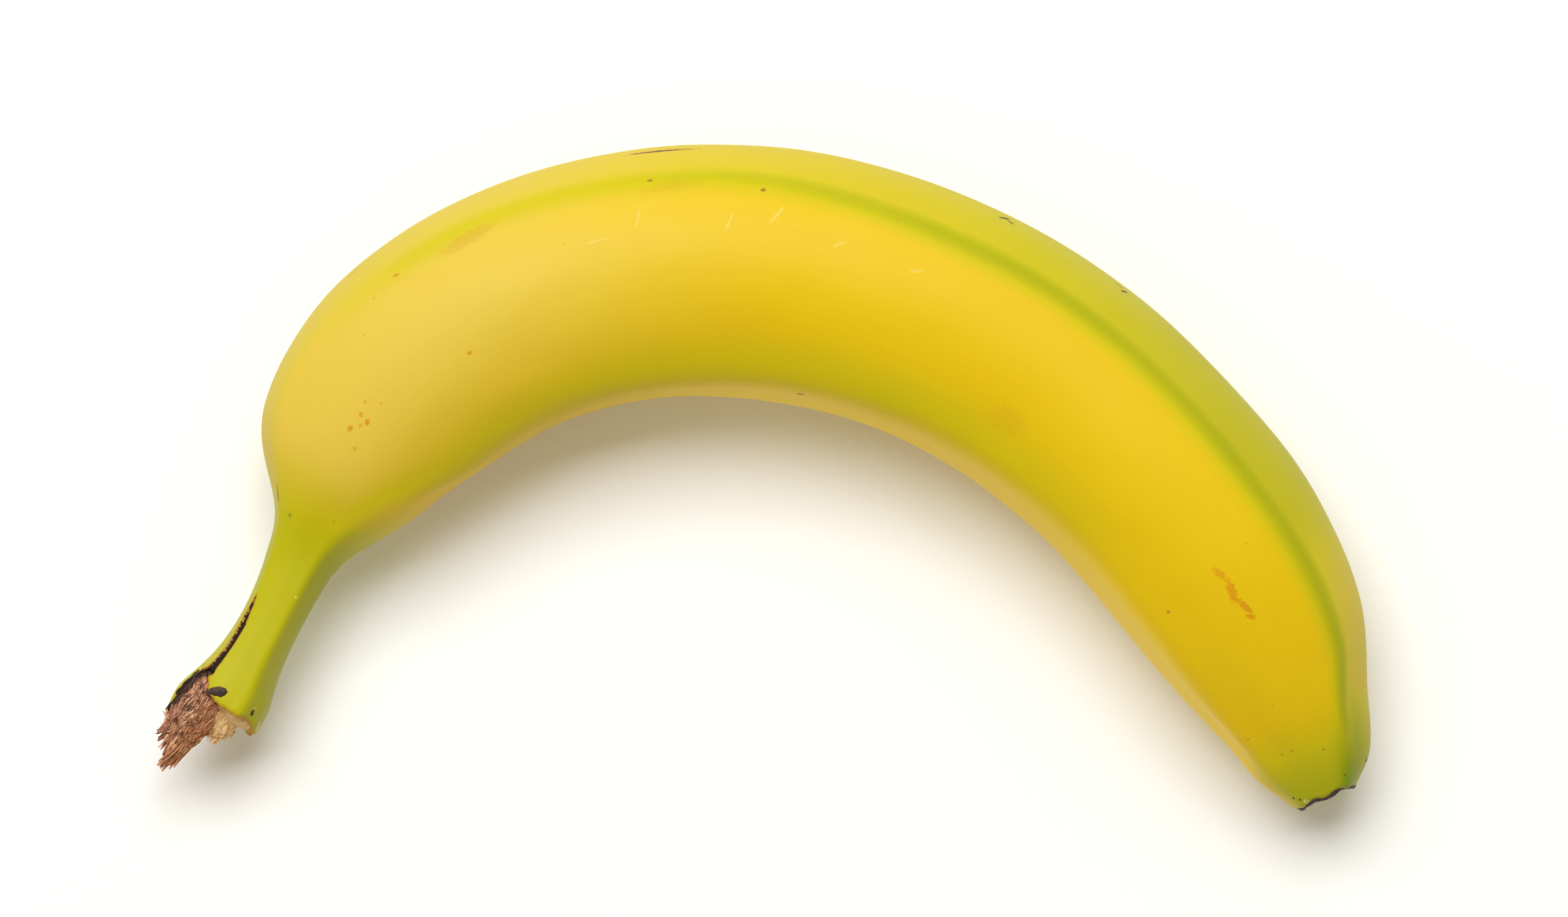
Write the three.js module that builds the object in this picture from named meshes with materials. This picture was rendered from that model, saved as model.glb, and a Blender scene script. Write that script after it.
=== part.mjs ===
// A ripe dessert banana (Cavendish), picked from its hand and lying on its side.
//
// Units are millimetres, +Z is up. The fruit lies on the plane z = 0 with its stalk towards -X,
// its tip towards +X and the outside of its bend towards +Y. The origin is the middle of the
// base of its bounding box.
//
// The fruit grew as one piece, so it is one closed solid: a turned bar whose rings are carried
// along the fruit's bent middle line and given the section that the fruit has there.

import * as THREE from 'three';

// ---- Stretches of the middle line, from the stalk's torn end to the tip ----
// Each has its length, and how many degrees it turns in plan: + is to the left, - to the right.

const STRETCHES = {
  tuft: { length: 12, turn: 11 },        // dried fibres pulled out past the stalk
  stalk: { length: 26.5, turn: 12 },     // slim, with a flared torn end
  neck: { length: 12, turn: -4 },        // where the stalk swells into the fruit
  shoulder: { length: 37, turn: -39.5 }, // the tightest of the bend, up to full girth
  belly: { length: 75.5, turn: -55 },
  arm: { length: 48, turn: -27 },        // slightly slimmer and straighter
  taper: { length: 32, turn: -12 },      // where the fruit closes towards the flower's scar
};
const START_HEADING = 43;                // the way the middle line starts, from +X towards +Y

// ---- Sections: width is across the bend, depth is up and down as the fruit lies ----
// aside moves a section off the middle line, towards the outside of the bend.

const TUFT_TIP = { width: 3.2, depth: 3.5, aside: 1 };
const TUFT = { width: 9, depth: 9, aside: 1.8 };            // half way along the tuft
const TORN_END = { width: 13, depth: 12.5, aside: 0.3 };    // where the peel was torn
const STALK = { width: 9.3, depth: 11, aside: 0.6 };
const THROAT = { width: 11.4, depth: 12.5, aside: 0.6 };    // where the neck starts
const NECK = { width: 26.8, depth: 25.5, aside: 0 };        // where the neck ends
const CHEEK = { width: 33.2, depth: 31.5, aside: 0 };       // a third of the way along the shoulder
const SHOULDER = { width: 36, depth: 34.5, aside: 0 };
const BELLY = { width: 37.5, depth: 35.5, aside: 0 };       // the thickest place
const ARM = { width: 36.8, depth: 35, aside: 0 };           // where the arm starts
const WRIST = { width: 33, depth: 32, aside: 0 };           // where the taper starts
const CONE = { width: 25, depth: 24.5, aside: 0 };          // half way along the taper
const SCAR = { width: 10, depth: 9.5, aside: 0 };           // the dried scar of the flower

// ---- How the fruit lies ----

const STALK_HEIGHT = 14.5;    // the stalk's middle above the plane
const SCAR_HEIGHT = 12;       // the scar's middle above the plane
const REST_FLAT = 0.4;        // how far the peel is pressed flat where it touches the plane

// ---- Ridges: soft edges that run the length of the peel, four of them on to the stalk ----
// Each is an angle round the section, from the outside of the bend (0) over the top (90), and
// a height as a share of the section's radius.

const RIDGES = [
  { onBody: 4, bodyHeight: 0.02, onStalk: 4, stalkHeight: 0 },
  { onBody: 52, bodyHeight: 0.055, onStalk: 50, stalkHeight: 0.1 },
  { onBody: 154, bodyHeight: 0.06, onStalk: 118, stalkHeight: 0.1 },
  { onBody: 206, bodyHeight: 0.06, onStalk: 205, stalkHeight: 0.1 },
  { onBody: 308, bodyHeight: 0.055, onStalk: 305, stalkHeight: 0.1 },
];
const RIDGE_SPREAD = 17;      // degrees from a ridge's crest to half its height

// ---- Fineness of the facets ----

const RING_SPACING = 3;       // between rings, along the middle line
const SIDES = 40;             // round a ring
const WALK_STEPS = 600;       // steps that the middle line is walked in

const radians = THREE.MathUtils.degToRad;

// Where each stretch starts and ends, as a distance along the middle line.
const starts = {};
const ends = {};
let length = 0;
for (const [name, stretch] of Object.entries(STRETCHES)) {
  starts[name] = length;
  length += stretch.length;
  ends[name] = length;
}

/** The distance at a share of the way along a stretch. */
function along(name, share) {
  return starts[name] + STRETCHES[name].length * share;
}

/** A smooth curve through rows of [distance, value, value, ...]; returns a reader of the values. */
function smoothThrough(rows) {
  const distances = rows.map((row) => row[0]);
  const values = rows.flatMap((row) => row.slice(1));
  const curve = new THREE.CubicInterpolant(distances, values, rows[0].length - 1);
  return (distance) => [...curve.evaluate(distance)];
}

/** The way the fruit points, in degrees, at each distance: the stretches' turns one by one. */
function makeHeading() {
  const rows = [[0, START_HEADING]];
  let heading = START_HEADING;
  for (const [name, stretch] of Object.entries(STRETCHES)) {
    heading += stretch.turn;
    rows.push([ends[name], heading]);
  }
  return smoothThrough(rows);
}

/** The middle line in plan: the point and the heading at each of its rings' distances. */
function makeMiddleLine() {
  const heading = makeHeading();
  const step = length / WALK_STEPS;
  const points = [new THREE.Vector2(0, 0)];
  for (let i = 0; i < WALK_STEPS; i += 1) {
    const turn = radians(heading((i + 0.5) * step)[0]);
    const last = points[points.length - 1];
    points.push(new THREE.Vector2(last.x + step * Math.cos(turn), last.y + step * Math.sin(turn)));
  }
  return (distance) => {
    const place = Math.min(distance / step, WALK_STEPS - 1e-6);
    const i = Math.floor(place);
    return {
      point: points[i].clone().lerp(points[i + 1], place - i),
      heading: radians(heading(distance)[0]),
    };
  };
}

/** The section at each distance: its size, its middle's place, and how stalk-like it is. */
function makeGirth() {
  const lying = (section) => section.depth / 2 - REST_FLAT;
  const row = (at, section, height, stalk) => (
    [at, section.width, section.depth, section.aside, height, stalk]
  );
  const read = smoothThrough([
    row(0, TUFT_TIP, STALK_HEIGHT, 1),
    row(along('tuft', 0.5), TUFT, STALK_HEIGHT, 1),
    row(starts.stalk, TORN_END, STALK_HEIGHT, 1),
    row(along('stalk', 0.3), STALK, STALK_HEIGHT, 1),
    row(along('stalk', 0.8), STALK, STALK_HEIGHT, 1),
    row(starts.neck, THROAT, STALK_HEIGHT, 0.9),
    row(starts.shoulder, NECK, (STALK_HEIGHT + lying(CHEEK)) / 2, 0.2),
    row(along('shoulder', 0.33), CHEEK, lying(CHEEK), 0),
    row(starts.belly, SHOULDER, lying(SHOULDER), 0),
    row(along('belly', 0.55), BELLY, lying(BELLY), 0),
    row(starts.arm, ARM, lying(ARM), 0),
    row(starts.taper, WRIST, lying(WRIST), 0),
    row(along('taper', 0.5), CONE, (lying(WRIST) + SCAR_HEIGHT) / 2, 0.2),
    row(length, SCAR, SCAR_HEIGHT, 0.4),
  ]);
  return (distance) => {
    const [width, depth, aside, height, stalk] = read(distance);
    return { width, depth, aside, height, stalk };
  };
}

/** One section's outline before it is sized: a circle with the ridges raised on it. */
function ridgedCircle(angle, stalk) {
  let radius = 1;
  for (const ridge of RIDGES) {
    const at = radians(THREE.MathUtils.lerp(ridge.onBody, ridge.onStalk, stalk));
    const height = THREE.MathUtils.lerp(ridge.bodyHeight, ridge.stalkHeight, stalk);
    const off = Math.atan2(Math.sin(angle - at), Math.cos(angle - at));
    radius += height / (1 + (off / radians(RIDGE_SPREAD)) ** 2);
  }
  return new THREE.Vector2(radius * Math.cos(angle), radius * Math.sin(angle));
}

/** The outline of the section at a distance, stretched to exactly its width and depth. */
function makeSection(girth, distance) {
  const { width, depth, aside, height, stalk } = girth(distance);
  const outline = [];
  for (let i = 0; i < SIDES; i += 1) {
    outline.push(ridgedCircle((2 * Math.PI * i) / SIDES, stalk));
  }
  const box = new THREE.Box2().setFromPoints(outline);
  const middle = box.getCenter(new THREE.Vector2());
  const size = box.getSize(new THREE.Vector2());
  const place = ({ x, y }) => ({
    across: aside + ((x - middle.x) / size.x) * width,
    up: height + ((y - middle.y) / size.y) * depth,
  });
  return outline.map(place);
}

/** The distances of the rings: about RING_SPACING apart, with one at each end. */
function ringDistances() {
  const count = Math.ceil(length / RING_SPACING);
  return Array.from({ length: count + 1 }, (_, i) => (i * length) / count);
}

/** A straight bar of radius 1 along +Y, closed at both ends, with a ring at each distance. */
function makeBar(distances) {
  const side = distances.map((distance) => new THREE.Vector2(1, distance));
  const profile = [new THREE.Vector2(0, 0), ...side, new THREE.Vector2(0, length)];
  return new THREE.LatheGeometry(profile, SIDES);
}

/** The whole fruit: the bar's rings carried to the middle line and given their sections. */
function makeBanana() {
  const distances = ringDistances();
  const middleLine = makeMiddleLine();
  const girth = makeGirth();
  const rings = distances.map((distance) => makeSection(girth, distance));
  const geometry = makeBar(distances);
  const position = geometry.getAttribute('position');
  for (let i = 0; i < position.count; i += 1) {
    const distance = position.getY(i);
    const ring = rings[Math.round((distance / length) * (distances.length - 1))];
    const turns = Math.atan2(position.getX(i), position.getZ(i)) / (2 * Math.PI);
    const side = (Math.round(turns * SIDES) + SIDES) % SIDES;
    const onAxis = Math.hypot(position.getX(i), position.getZ(i)) < 0.5;
    const { aside, height } = girth(distance);
    const { across, up } = onAxis ? { across: aside, up: height } : ring[side];
    const { point, heading } = middleLine(distance);
    position.setXYZ(
      i,
      point.x - across * Math.sin(heading),
      point.y + across * Math.cos(heading),
      Math.max(up, 0),
    );
  }
  geometry.computeVertexNormals();
  geometry.computeBoundingBox();
  const middle = geometry.boundingBox.getCenter(new THREE.Vector3());
  geometry.translate(-middle.x, -middle.y, -geometry.boundingBox.min.z);
  return geometry;
}

const peel = new THREE.MeshStandardMaterial({ color: 0xe6c32a, roughness: 0.5, metalness: 0 });

const banana = new THREE.Mesh(makeBanana(), peel);
banana.name = 'banana';

const fruit = new THREE.Group();
fruit.name = 'fruit';
fruit.add(banana);

export default fruit;
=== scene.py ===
# %% [markdown]
# # A ripe banana, lying on a white table
#
# This lesson dresses a plain model of a banana. The plain model is the frame: one closed solid
# with the fruit's true size, its bend, its girth and its soft ridges. It has no torn lip, no
# loose fibres and no dried tip, and it is all one colour, so those are made here, on and around it.
#
# The lesson works in this order: the camera and the light, the fruit's own coordinates, the peel,
# how ripe each place is, the peel's finish, the torn end of the stalk, and the dried tip.
#
# Lengths are in millimetres and angles in degrees, unless a comment says otherwise. They become
# metres and radians at the last moment, where a tool needs them.

# %% Load the frame
import math
import random

import bmesh
import bpy
from mathutils import Matrix, Vector, geometry, noise


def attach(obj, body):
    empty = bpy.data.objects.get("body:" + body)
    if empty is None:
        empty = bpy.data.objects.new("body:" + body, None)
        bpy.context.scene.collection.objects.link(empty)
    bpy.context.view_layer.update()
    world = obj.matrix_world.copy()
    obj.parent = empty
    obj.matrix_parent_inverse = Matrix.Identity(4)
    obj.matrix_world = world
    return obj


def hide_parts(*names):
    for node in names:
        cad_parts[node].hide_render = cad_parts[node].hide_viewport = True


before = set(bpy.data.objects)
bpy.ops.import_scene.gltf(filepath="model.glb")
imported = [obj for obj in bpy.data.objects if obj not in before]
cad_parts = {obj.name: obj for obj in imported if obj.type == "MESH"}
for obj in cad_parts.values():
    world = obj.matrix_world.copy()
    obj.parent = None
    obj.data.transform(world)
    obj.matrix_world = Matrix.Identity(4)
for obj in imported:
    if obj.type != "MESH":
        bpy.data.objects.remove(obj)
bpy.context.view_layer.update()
scene = bpy.context.scene
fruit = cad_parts["banana"]
MM = 0.001                  # the frame is in metres, and sizes here are in millimetres

# %% [markdown]
# ## Three small helpers
#
# Colours are written as the hex values that a paint program shows. A shader works in linear light,
# so one function turns them. Another adds a node to a material, with its settings and its links.
# The third makes an object out of a bmesh that is ready.

# %% Helpers for colours, nodes and objects
def linear(hex_colour):
    """An sRGB colour such as "#F1C61D" as the linear RGBA that shaders take."""
    channels = [int(hex_colour[i:i + 2], 16) / 255 for i in (1, 3, 5)]
    return [c / 12.92 if c <= 0.04045 else ((c + 0.055) / 1.055) ** 2.4 for c in channels] + [1.0]


def add(tree, kind, settings=None, links=None):
    """A new node. settings holds its properties and the values of its inputs, links what feeds them."""
    node = tree.nodes.new("ShaderNode" + kind)
    for key, value in (settings or {}).items():
        if isinstance(key, str) and hasattr(node, key):
            setattr(node, key, value)
        else:
            node.inputs[key].default_value = value
    for key, output in (links or {}).items():
        tree.links.new(output, node.inputs[key])
    return node


def make_object(name, bm, *materials):
    """An object at the origin that holds what the bmesh holds, shaded smooth."""
    mesh = bpy.data.meshes.new(name)
    bm.to_mesh(mesh)
    bm.free()
    mesh.polygons.foreach_set("use_smooth", [True] * len(mesh.polygons))
    for material in materials:
        mesh.materials.append(material)
    made = bpy.data.objects.new(name, mesh)
    scene.collection.objects.link(made)
    return made


def start_material(name):
    """A new node material: its tree, and its Principled BSDF."""
    material = bpy.data.materials.new(name)
    material.use_nodes = True
    tree = material.node_tree
    return material, tree, tree.nodes["Principled BSDF"]


print("ripe yellow in linear light:", [round(c, 3) for c in linear("#F1C61D")[:3]])

# %% [markdown]
# ## The camera
#
# The fruit lies flat, and it is seen from straight above. A long lens far away keeps its outline
# true, as in a page of a fruit catalogue. The camera looks along its own -Z with +Y up, so
# straight down is the turn that it has already.

# %% Camera
VIEW_WIDTH = 229.1 * MM        # how much of the table is in view, at the fruit's mid height
VIEW_CENTRE = Vector((3.0, 2.7, 17.5)) * MM
CAMERA_DISTANCE = 0.9
camera_data = bpy.data.cameras.new("camera")
camera_data.sensor_width = 36
camera_data.lens = camera_data.sensor_width * CAMERA_DISTANCE / VIEW_WIDTH
camera_data.clip_end = 10
camera = bpy.data.objects.new("camera", camera_data)
camera.location = VIEW_CENTRE + Vector((0, 0, CAMERA_DISTANCE))
scene.collection.objects.link(camera)
scene.camera = camera
print("lens", round(camera_data.lens, 1), "mm")

# %% [markdown]
# ## The light
#
# One large soft window of light stands beyond the fruit, high up. It gives the peel its broad
# sheen and lays a soft shadow towards the viewer. A warm, even sky fills that shadow. The
# floor is white paper that is lit just past white, so the Standard view shows it pure. A trace of
# glow in the paper stands for the light that a whole white room would send back.

# %% Floor, key light and sky
KEY_ELEVATION = math.radians(62)
KEY_AZIMUTH = math.radians(105)        # 90 is straight beyond the fruit
KEY_DISTANCE = 2.0
KEY_SIZE = (1.6, 1.08)
KEY_POWER = 40.6
SKY_COLOUR = "#FFF4D4"
SKY_STRENGTH = 0.38

key_data = bpy.data.lights.new("key", "AREA")
key_data.shape = "RECTANGLE"
key_data.size, key_data.size_y = KEY_SIZE
key_data.energy = KEY_POWER
key_data.color = linear("#F9FBFF")[:3]
key = bpy.data.objects.new("key", key_data)
towards_key = Vector((
    math.cos(KEY_ELEVATION) * math.cos(KEY_AZIMUTH),
    math.cos(KEY_ELEVATION) * math.sin(KEY_AZIMUTH),
    math.sin(KEY_ELEVATION),
))
key.location = towards_key * KEY_DISTANCE
key.rotation_euler = towards_key.to_track_quat("Z", "Y").to_euler()
scene.collection.objects.link(key)

world = bpy.data.worlds.new("sky")
world.use_nodes = True
sky = world.node_tree.nodes["Background"]
sky.inputs["Color"].default_value = linear(SKY_COLOUR)
sky.inputs["Strength"].default_value = SKY_STRENGTH
scene.world = world
scene.view_settings.view_transform = "Standard"

paper, tree, shader = start_material("matt white paper")
shader.inputs["Base Color"].default_value = linear("#F7F7F7")
shader.inputs["Roughness"].default_value = 0.9
shader.inputs["Specular IOR Level"].default_value = 0.2
shader.inputs["Emission Color"].default_value = linear("#F4F6FF")
shader.inputs["Emission Strength"].default_value = 0.05
bm = bmesh.new()
bmesh.ops.create_grid(bm, x_segments=1, y_segments=1, size=3.0)
floor = make_object("paper_floor", bm, paper)
print("key light at", [round(v, 2) for v in key.location])

# %% [markdown]
# ## The fruit's own coordinates
#
# A bent thing is hard to paint and to carve: a stripe that follows the bend has no simple formula.
# So the fruit is measured once and then thought of as unbent. A point has three numbers in
# millimetres: how far along the fruit it is, how far across towards the outside of the bend,
# and how far up from the middle line.
#
# The frame's solid is a stack of rings, 3 mm apart, with one point in the middle of each end.
# The points are found by walking from the stalk's end, ring by ring.

# %% Measure the rings of the frame
RING_SPACING = 3.0
POLE_EDGES = 20            # only the point in the middle of an end has more edges than this


def walk_rings(bm):
    """The rings of a closed tube, and its two poles.

    The first ring is one edge away from the pole at the -X end, the next one two edges, and so on.
    """
    poles = sorted((v for v in bm.verts if len(v.link_edges) > POLE_EDGES), key=lambda v: v.co.x)
    reached = {poles[0]}
    ring = {e.other_vert(poles[0]) for e in poles[0].link_edges}
    rings = []
    while len(ring) > 1:
        rings.append(ring)
        reached |= ring
        ring = {e.other_vert(v) for v in ring for e in v.link_edges} - reached
    return rings, poles


def measure_ring(ring):
    """A ring's centre and the way to its outside, in metres, and its verts in the order of their turn."""
    outer = max(ring, key=lambda v: v.co.y).co
    inner = min(ring, key=lambda v: v.co.y).co
    heights = [v.co.z for v in ring]
    centre = (outer + inner) / 2
    centre.z = (max(heights) + min(heights)) / 2
    left = (outer - inner).to_2d().normalized().to_3d()

    def turn(vert):
        offset = vert.co - centre
        return math.atan2(offset.z, offset.dot(left)) % math.tau

    ordered = sorted(ring, key=turn)
    first = min(range(len(ordered)), key=lambda i: abs(math.remainder(turn(ordered[i]), math.tau)))
    return centre, left, ordered[first:] + ordered[:first]


bm = bmesh.new()
bm.from_mesh(fruit.data)
bmesh.ops.remove_doubles(bm, verts=bm.verts, dist=1e-6)
unbent = bm.verts.layers.float_vector.new("unbent")      # layers come before any vert is kept
facing = bm.verts.layers.float_vector.new("facing")
crease = bm.edges.layers.float.new("crease_edge")
rings, poles = walk_rings(bm)
measured = [measure_ring(ring) for ring in rings]
SIDES = len(rings[0])
LENGTH = RING_SPACING * (len(rings) - 1)
print(len(rings), "rings of", SIDES, "points, along", LENGTH, "mm")

# %% [markdown]
# Between two rings everything is mixed in proportion. `bend` carries an unbent point to its place
# on the table, so a new piece can be made straight and bent afterwards. `skin` gives the
# outline at any distance and any angle: 0 is the outside of the bend, and 90 is the top. It also
# rounds off the outer corner of the tip, which the frame leaves square.

# %% Go from unbent millimetres to the table
TIP_CORNER = (239.5, 243.2)    # the stretch over which the tip's outer corner is rounded off
TIP_ROUNDING = 0.22            # and the share of the radius that goes at its end

centres = [centre for centre, left, ring in measured]
lefts = [left for centre, left, ring in measured]
outlines = [
    [Vector(((v.co - centre).dot(left), v.co.z - centre.z)) / MM for v in ring]
    for centre, left, ring in measured
]


def smoothstep(low, high, value):
    """0 at low, 1 at high, and a soft step between them. Where low is above high, it steps down."""
    t = min(max((value - low) / (high - low), 0), 1)
    return t * t * (3 - 2 * t)


def between(values, along):
    """A value between those of the two nearest rings."""
    place = along / RING_SPACING
    i = min(max(int(place), 0), len(values) - 2)
    return values[i].lerp(values[i + 1], place - i)


def bend(along, across, up):
    """The place on the table, in metres, of a point that is given unbent, in millimetres."""
    left = between(lefts, along).normalized()
    return between(centres, along) + (left * across + Vector((0, 0, up))) * MM


def skin(along, degrees):
    """Where the fruit's outline is at a distance and an angle: across and up."""
    from_outside = abs(math.remainder(degrees, 360))
    rounding = 1 - TIP_ROUNDING * smoothstep(*TIP_CORNER, along) * smoothstep(80, 15, from_outside)
    place = (degrees % 360) / 360 * SIDES
    i = int(place)
    here = between([outline[i % SIDES] for outline in outlines], along)
    after = between([outline[(i + 1) % SIDES] for outline in outlines], along)
    return here.lerp(after, place - i) * rounding


def on_top(along, share):
    """The unbent point on top of the fruit at a share of its half width.

    1 is the outer edge of the bend, and -1 is the inner edge.
    """
    reach = skin(along, 0).x
    degrees = min(range(0, 181), key=lambda d: abs(skin(along, d).x - share * reach))
    return Vector((along, *skin(along, degrees)))


print("thickest:", round(2 * max(outline[0].x for outline in outlines), 1), "mm across")

# %% [markdown]
# ## The peel
#
# A banana's peel has five soft ridges, because its flower had five parts. On a stalk that was torn
# from its bunch the peel ends in a ragged lip, with a tongue on one side that reached further into
# the bunch. One could sculpt all that by hand. Here the frame's rings are turned back into
# a clean net of four-sided faces, the rings next to the torn end are slid along the fruit to where
# the tear is, and a subdivision surface makes the net smooth.
#
# Each vert keeps two notes of its own: its unbent place, and which way it faces round the fruit.
# The subdivision surface mixes them like any other layer, so the fine net has them too.

# %% A net of four-sided faces, with its coordinates on it
for n, (centre, left, ring) in enumerate(measured):
    for k, vert in enumerate(ring):
        turn = k / SIDES * math.tau
        vert[unbent] = Vector((n * RING_SPACING, *outlines[n][k]))
        vert[facing] = Vector((math.cos(turn), math.sin(turn), 0))

side_edges = {
    frozenset((ring[k], ring[(k + 1) % SIDES])) for centre, left, ring in measured for k in range(SIDES)
}
line_edges = {
    frozenset((measured[n][2][k], measured[n + 1][2][k]))
    for n in range(len(measured) - 1) for k in range(SIDES)
}
kept = side_edges | line_edges
diagonals = [
    e for e in bm.edges
    if frozenset(e.verts) not in kept and not set(e.verts) & set(poles)
]
bmesh.ops.dissolve_edges(bm, edges=diagonals, use_verts=False, use_face_split=False)
print(len(diagonals), "diagonals dissolved,", sum(len(f.verts) == 4 for f in bm.faces), "four-sided faces")

# %% [markdown]
# The tear is a list of how far along the fruit the peel ends, at each angle round the stalk. It
# starts as a tongue on the outside, climbs to where the peel is split, and runs round as
# a lip. The rings between the tear and `TEAR_REACH` are spread evenly over what is left. The tip
# gets the same treatment, so that the peel ends in a wavy edge where the flower sat.

# %% Slide the first rings to the tear, and the last ones to the scar
TEAR_START = 12.0          # the last ring that is dropped with the tuft
TEAR_REACH = 30.0          # from here on the rings stay where they are
TEAR = [                   # degrees round the stalk, and millimetres along it
    (0, 6.2), (9, 6.6), (15, 7.8), (19, 10.5), (23, 13.0), (30, 14.5), (38, 15.3), (46, 16.0),
    (54, 15.0), (62, 13.7), (76, 12.9), (88, 12.4), (110, 12.6), (140, 12.9), (160, 11.9),
    (180, 10.8), (205, 11.7), (240, 13.4), (270, 12.7), (300, 12.1), (325, 9.6), (345, 7.0),
    (360, 6.2),
]
RAGGEDNESS = 0.35          # how far the tear strays from that list
SCAR_START = 231.0         # past here the rings are spread evenly up to the edge at the tip
SCAR = [                   # the same, where the peel ends at the tip
    (0, 242.3), (20, 242.3), (38, 242.2), (60, 241.9), (72, 241.7), (84, 242.2), (100, 242.5),
    (120, 242.1), (140, 242.6), (160, 243.0), (180, 242.8), (210, 242.4), (250, 242.1), (290, 242.3),
    (330, 242.3), (360, 242.3),
]


def read_profile(profile, degrees):
    """The value of a profile at an angle, on straight lines between its points."""
    degrees %= 360
    for (a, before), (b, after) in zip(profile, profile[1:]):
        if degrees <= b:
            return before + (after - before) * (degrees - a) / (b - a)
    return profile[-1][1]


def lay(vert, along, degrees):
    """Moves a vert to a distance and an angle on the fruit's outline."""
    vert[unbent] = Vector((along, *skin(along, degrees)))
    vert.co = bend(*vert[unbent])


def tear_at(degrees):
    """Where the peel is torn, with the small raggedness of the real thing."""
    turn = math.radians(degrees)
    wobble = noise.noise(Vector((math.cos(turn), math.sin(turn), 3.1)) * 4)
    return read_profile(TEAR, degrees) + RAGGEDNESS * wobble


tuft = [
    v for n, (centre, left, ring) in enumerate(measured)
    if n * RING_SPACING < TEAR_START for v in ring
]
for n, (centre, left, ring) in enumerate(measured):
    along = n * RING_SPACING
    for k, vert in enumerate(ring):
        degrees = 360 * k / SIDES
        if TEAR_START <= along < TEAR_REACH:
            share = (along - TEAR_START) / (TEAR_REACH - TEAR_START)
            lay(vert, tear_at(degrees) * (1 - share) + TEAR_REACH * share, degrees)
        elif along > SCAR_START:
            share = (along - SCAR_START) / (LENGTH - SCAR_START)
            lay(vert, SCAR_START * (1 - share) + read_profile(SCAR, degrees) * share, degrees)
bmesh.ops.delete(bm, geom=tuft + poles, context="VERTS")
rims = [e for e in bm.edges if e.is_boundary]
print("peel from", round(min(v[unbent].x for v in bm.verts), 1), "to",
      round(max(v[unbent].x for v in bm.verts), 1), "mm,", len(rims), "open edges")

# %% [markdown]
# The peel is about 1.2 mm thick on the stalk. Each open rim is turned inwards by that, then pushed
# inside the fruit and closed, so that the peel is one sealed shell and no light comes through.

# %% Turn the open rims in and close them
LIP = {"stalk": 1.2, "tip": 0.7}          # the lip's thickness, in millimetres
RECESS = {"stalk": 4.0, "tip": -1.0}      # how far in along the fruit the inner wall reaches
RIM_CREASE = 0.6                          # how firm the lip's outer edge stays when it is subdivided
INNER_CREASE = 0.5                        # and its inner edge: 0 is soft and 1 is sharp


def extrude_rim(bm, edges, draw_in, shift):
    """Extrudes a rim, draws the new one towards the middle line and shifts it along.

    Returns the new rim.
    """
    made = bmesh.ops.extrude_edge_only(bm, edges=edges)["geom"]
    for vert in (g for g in made if isinstance(g, bmesh.types.BMVert)):
        along, across, up = vert[unbent]
        radius = math.hypot(across, up)
        keep = max(radius - draw_in, 0.2) / radius
        vert[unbent] = Vector((along + shift, across * keep, up * keep))
        vert.co = bend(*vert[unbent])
    return [g for g in made if isinstance(g, bmesh.types.BMEdge) and g.is_boundary]


for name in ("stalk", "tip"):
    rim = [
        e for e in bm.edges
        if e.is_boundary and (e.verts[0][unbent].x > LENGTH / 2) == (name == "tip")
    ]
    for edge in rim:
        edge[crease] = RIM_CREASE
    for draw_in, shift in ((LIP[name], 0.0), (0.2, RECESS[name] / 2), (0.2, RECESS[name] / 2)):
        rim = extrude_rim(bm, rim, draw_in, shift)
        for edge in rim:
            edge[crease] = INNER_CREASE if shift == 0.0 else 0.0
    bmesh.ops.holes_fill(bm, edges=rim, sides=0)
bmesh.ops.recalc_face_normals(bm, faces=bm.faces)
print("sealed:", all(e.is_manifold for e in bm.edges), "volume",
      round(bm.calc_volume() / MM ** 3 / 1000, 1), "cubic centimetres")

# %% Subdivide the net
net = make_object("peel_net", bm)
smooth = net.modifiers.new("smooth", "SUBSURF")
smooth.levels = 2
smooth.render_levels = 2
evaluated = net.evaluated_get(bpy.context.evaluated_depsgraph_get())
bm = bmesh.new()
bm.from_mesh(bpy.data.meshes.new_from_object(evaluated))
bpy.data.objects.remove(net)
print("fine net:", len(bm.faces), "faces")

# %% [markdown]
# ## Carving the peel
#
# The fine net is carved the way a sculptor would: each vert moves a little along its normal.
# The ridges get a firmer crest, and two of them are led where the real ones run: the top one
# wanders, and the inner one climbs a little towards the tip. The faces between them get long
# shallow waves, two places bulge, and the stalk gets its split. `OUTLINE` swells and thins the
# fruit's two sides by about a millimetre at most, because a real one is never as even as the frame.
# Where the fruit rests on the table nothing moves, so it stays flat there.

# %% Carve ridges, waves, bulges and the split
CREST = 0.25               # how far the crest of a ridge is sharpened
FRAME_SPREAD = 17          # degrees from the crest of one of the frame's ridges to half its height
FRAME_RIDGES = [           # where the frame has its ridges: degrees on the body and on the stalk
    (52, 50), (154, 118), (206, 205), (308, 305),
]
TOP_RIDGE = [              # where the ridge nearest the top runs: along, degrees
    (0, 50), (40, 46), (58, 38), (80, 43), (112, 46), (152, 54), (192, 57), (222, 52), (232, 59),
    (250, 62),
]
STALK_END = 40.0           # where the stalk starts to swell into the fruit
NECK_END = 56.0
SPLIT = [                  # along, share of the half width, half the gap's width
    (15.3, 0.69, 0.70), (17.0, 0.69, 0.42), (20.0, 0.69, 0.30), (24.0, 0.70, 0.34),
    (27.0, 0.73, 0.18), (29.2, 0.74, 0.02),
]
BULGES = [                 # along, its reach, height, degrees, and from where round it fades to where
    (236.5, 4.5, 0.9, 190, 20, 75), (10.5, 3.0, 0.45, 8, 20, 50),
]
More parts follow.
